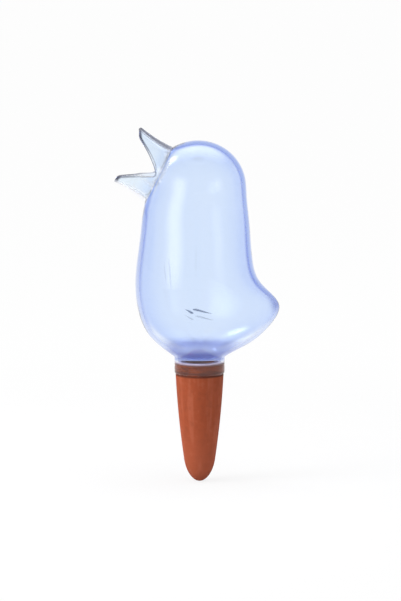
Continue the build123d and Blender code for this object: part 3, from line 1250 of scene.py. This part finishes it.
    def mark(self, loft: RingLoft, out: Array, length: Array) -> None:
        """Marks where the glass is thick, where painted shade darkens its rims, ridge and edge, where it is
        lit from below so that its painted dark edge is paler, and where it melts into the body.

        Args:
            loft: the beak's wall.
            out: each vertex's distance out of the mouth.
            length: how far its column runs out.
        """
        turn = loft.turns()
        strength = self.rim_strength.over(length / self.reach)
        rounded = strength * self.rim_band.over((length - out) / strength ** 2)
        melt = self.melt.over(out) * self.lower_melt.over(turn) * self.ridge_melt.over(turn)
        # Painted shade: RIM darkens the rounded rims and the upper ridge, and EDGED keeps the painted dark
        # edge band mostly to the ridge.
        loft.mark(Mark.RIM, np.maximum(rounded, self.ridge.over(turn)))
        loft.mark(Mark.DEEP, np.maximum(self.base.over(out), self.upper_tint.over(turn)))
        loft.mark(Mark.MELTED, melt)
        loft.mark(Mark.UNDER, self.under.over(turn))
        loft.mark(Mark.EDGED, self.ridge_edge.over(turn))

    def dress(self, piece: Piece) -> None:
        """Gives the beak its glass and puts it on the bird."""
        dress(piece, self.finish.material(), Body.BIRD, "glass_beak")


def dress(piece: Piece, material: Material, body: Body, node: str) -> None:
    """Puts a new piece in the place of a CAD node.

    Args:
        piece: the new piece.
        material: its finish.
        body: the body that it rides on.
        node: the CAD node that it stands for.
    """
    piece.data.materials.clear()
    piece.data.materials.append(material)
    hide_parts(node)
    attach(piece, body.value)
    LOG.info("%s: %d faces on %s", piece.name, len(piece.data.polygons), body.value)


def dress_node(node: str, material: Material) -> None:
    """Gives a CAD node that stays its finish.

    Args:
        node: the node's name.
        material: its finish.
    """
    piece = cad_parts[node]
    piece.data.materials.clear()
    piece.data.materials.append(material)
    LOG.info("%s: packed mesh of %d faces", node, len(piece.data.polygons))


# Setting
@dataclass
class Softbox:
    """A soft lamp that faces the bird.

    azimuth is measured from the camera's side towards +X, in degrees. feather is the part of the cloth
    that fades at each edge. A lamp that isn't mirrored shows in no glass, and one that doesn't light
    shows only there.
    """

    name: str
    azimuth: float
    elevation: float
    distance: float
    width: float
    height: float
    radiance: float
    feather: float = 0.45
    mirrored: bool = True
    lights: bool = True

    def diffuser(self, lamp: bpy.types.Light) -> None:
        """Makes the lamp's cloth glow less towards its edges.

        Args:
            lamp: the lamp.
        """
        lamp.use_nodes = True
        graph = Graph(lamp.node_tree)
        places = graph.axes(graph.node("NewGeometry").outputs["Parametric"])[:2]
        edges = [graph.ramp(place, *fade) for place in places
                 for fade in (Fade(0.0, self.feather), Fade(1.0, 1.0 - self.feather))]
        light = graph.node("Emission", {"Color": WHITE, "Strength": graph.times(*edges)})
        graph.node("OutputLight", {"Surface": light.outputs[0]})

    def build(self, aim: Vector) -> None:
        """Adds the lamp.

        Args:
            aim: the point that it faces.
        """
        turn, rise = math.radians(self.azimuth), math.radians(self.elevation)
        way = Vector((math.sin(turn) * math.cos(rise), -math.cos(turn) * math.cos(rise), math.sin(rise)))
        lamp = bpy.data.lights.new(self.name, "AREA")
        lamp.shape = "RECTANGLE"
        lamp.size, lamp.size_y = self.width, self.height
        lamp.energy = self.radiance * math.pi * self.width * self.height
        self.diffuser(lamp)
        made = bpy.data.objects.new(self.name, lamp)
        made.location = aim + way * self.distance
        made.rotation_euler = way.to_track_quat("Z", "Y").to_euler()
        made.visible_camera = False
        made.visible_glossy = made.visible_transmission = self.mirrored
        made.visible_diffuse = self.lights
        bpy.context.scene.collection.objects.link(made)


@dataclass
class Studio:
    """White table, white surroundings, soft lamps and a long-lens camera, in metres."""

    floor_height: float = -0.0613
    floor_size: float = 60.0
    table_dark: Colour = (0.9, 0.9, 0.9)
    table_pale: Colour = (0.92, 0.92, 0.92)
    table_scale: float = 30.0
    table_cloud: Fade = Fade(0.3, 0.7)
    shadow: Fade = Fade(0.12, 0.5, 0.16, 0.02)
    distance: float = 2.0
    elevation: float = 8.0
    aim: tuple[float, float, float] = (0.0005, 0.0, 0.0413)
    lamp_aim: tuple[float, float, float] = (0.0, 0.0, 0.05)
    frame_height: float = 0.3366
    sensor: float = 36.0
    clip_end: float = 100.0
    fill: Colour = (0.165, 0.165, 0.175)
    walls: Colour = (0.93, 0.94, 0.97)
    ceiling: Colour = (0.8, 0.83, 0.9)
    ceiling_through: Colour = (0.9, 0.92, 0.96)
    ceiling_height: Fade = Fade(0.35, 0.8)
    bounces: int = 32

    def build(self) -> None:
        """Builds the whole setting."""
        self.floor()
        self.surroundings()
        self.lamps()
        self.camera()
        self.light_paths()

    def floor(self) -> None:
        """Adds a white table top that keeps the shadow."""
        deselect_all()
        bpy.ops.mesh.primitive_plane_add(size=self.floor_size, location=(0, 0, self.floor_height))
        table = bpy.context.object
        table.name = "table_top"
        material, graph = new_material("white_table")
        vector = graph.place()
        cloud = graph.ramp(graph.noise(vector, self.table_scale), *self.table_cloud)
        matte = graph.node("BsdfDiffuse", {"Color": graph.mix(cloud, self.table_dark, self.table_pale)})
        glow = graph.node("Emission", {"Color": WHITE, "Strength": 1.0})
        path = graph.node("LightPath").outputs
        seen = graph.math("MAXIMUM", path["Is Glossy Ray"], path["Is Transmission Ray"])
        seen = graph.math("MAXIMUM", path["Is Camera Ray"], seen)
        away = graph.node("VectorMath", {0: vector}, operation="LENGTH").outputs["Value"]
        share = graph.times(seen, graph.rest(graph.ramp(away, *self.shadow)))
        both = graph.node("MixShader", {0: share, 1: matte.outputs[0], 2: glow.outputs[0]})
        graph.node("OutputMaterial", {"Surface": both.outputs[0]})
        table.data.materials.append(material)

    def surroundings(self) -> None:
        """Sets a white world whose ceiling is darker in reflections."""
        world = bpy.data.worlds.new("white_studio")
        bpy.context.scene.world = world
        world.use_nodes = True
        graph = Graph(world.node_tree)
        height = graph.axes(graph.node("TexCoord").outputs["Generated"])[2]
        ceiling = graph.ramp(height, *self.ceiling_height)
        path = graph.node("LightPath").outputs
        colour = graph.layered(self.fill, (
            (path["Is Transmission Ray"], graph.mix(ceiling, WHITE, self.ceiling_through)),
            (path["Is Glossy Ray"], graph.mix(ceiling, self.walls, self.ceiling)),
            (path["Is Camera Ray"], WHITE)))
        room = graph.node("Background", {"Color": colour, "Strength": 1.0})
        graph.node("OutputWorld", {"Surface": room.outputs[0]})

    def lamps(self) -> None:
        """Hangs the lamps."""
        for box in (
            Softbox("key_left", -46.0, 12.0, 0.9, 0.85, 0.9, 2.0),
            Softbox("side_left", -72.0, 28.0, 1.0, 0.8, 0.8, 10.2, mirrored=False),
            Softbox("spot_left", -114.0, 47.0, 0.95, 0.42, 0.42, 8.0),
            Softbox("fill_right", 50.0, 14.0, 1.2, 0.7, 0.9, 0.65),
            Softbox("top", 90.0, 80.0, 0.9, 1.35, 1.35, 2.7, feather=0.3, mirrored=False),
            Softbox("crown", 180.0, 68.0, 0.9, 2.0, 1.0, 2.2, lights=False),
        ):
            box.build(Vector(self.lamp_aim))

    def camera(self) -> None:
        """Adds the camera at the photograph's angle."""
        lens = bpy.data.cameras.new("long_lens")
        lens.sensor_width = self.sensor
        lens.lens = self.sensor * self.distance / self.frame_height
        lens.clip_end = self.clip_end
        made = bpy.data.objects.new("long_lens", lens)
        rise = math.radians(self.elevation)
        back = Vector((0.0, -math.cos(rise), math.sin(rise)))
        made.location = Vector(self.aim) + back * self.distance
        made.rotation_euler = (-back).to_track_quat("-Z", "Y").to_euler()
        bpy.context.scene.collection.objects.link(made)
        bpy.context.scene.camera = made
        bpy.context.scene.view_settings.view_transform = "Standard"

    def light_paths(self) -> None:
        """Lets light cross all the walls of the glass, and run along inside them."""
        cycles = bpy.context.scene.cycles
        cycles.max_bounces = cycles.transmission_bounces = self.bounces
        cycles.glossy_bounces = cycles.transparent_max_bounces = self.bounces


BLUE_GLASS = GlassFinish(
    name="pale_blue_glass", face=(0.83, 0.9, 1.0), turn=(0.655, 0.75, 0.985),
    edge=(0.11, 0.21, 0.72), edge_band=Fade(0.5, 0.66), edge_fade=0.5,
    rim=(0.95, 0.955, 0.97), deep=(0.155, 0.205, 0.57), under_clear=Fade(0.05, 0.4, end=0.0),
    depth_colour=(0.1, 0.375, 0.89), shade=(0.88, 0.93, 0.99), waviness=0.6,
    strokes=(
        Stroke((-8.8, 41.1), (-3.2, 38.9), 1.05, 0.72, 1.0),
        Stroke((-3.8, 40.9), (7.4, 38.6), 0.85, 0.25, 0.95),
        Stroke((-9.4, 37.9), (-3.0, 35.3), 0.65, 0.72, 0.35),
        Stroke((-2.6, 37.2), (8.2, 34.8), 0.65, 0.35, 0.45),
        Stroke((-15.6, 50.0), (-16.6, 69.0), 0.5, 0.6, 0.28, upright=True),
        Stroke((-18.3, 53.0), (-19.2, 67.0), 0.45, 0.5, 0.2, upright=True),
    ))
# The clear glass's edge and rim colours are near-black painted shade, for the dark that the beak's edges,
# rims and ridge refract.
CLEAR_GLASS = GlassFinish(
    name="clear_glass", face=(0.9, 0.955, 0.995), turn=(0.88, 0.94, 0.99),
    edge=(0.035, 0.04, 0.08), edge_band=Fade(0.35, 0.41), edge_fade=0.7,
    rim=(0.05, 0.052, 0.11), deep=(0.76, 0.85, 0.98), under_clear=Fade(0.05, 0.4),
    depth_colour=(0.3, 0.45, 0.95), shade=(0.95, 0.97, 0.98), waviness=0.3)


def main() -> None:
    """Builds every piece in order and reports it."""
    logging.basicConfig(level=logging.INFO, format="%(name)s: %(message)s")
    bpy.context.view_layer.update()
    form = BirdForm()
    for part in (GlassBody(form, BLUE_GLASS), GlassBeak(form, CLEAR_GLASS)):
        part.dress(part.build())
    dress_node("clay_cone", ClayFinish().material())
    dress_node("seal_ring", SiliconeFinish().material())
    Studio().build()


if __name__ == "__main__":
    main()
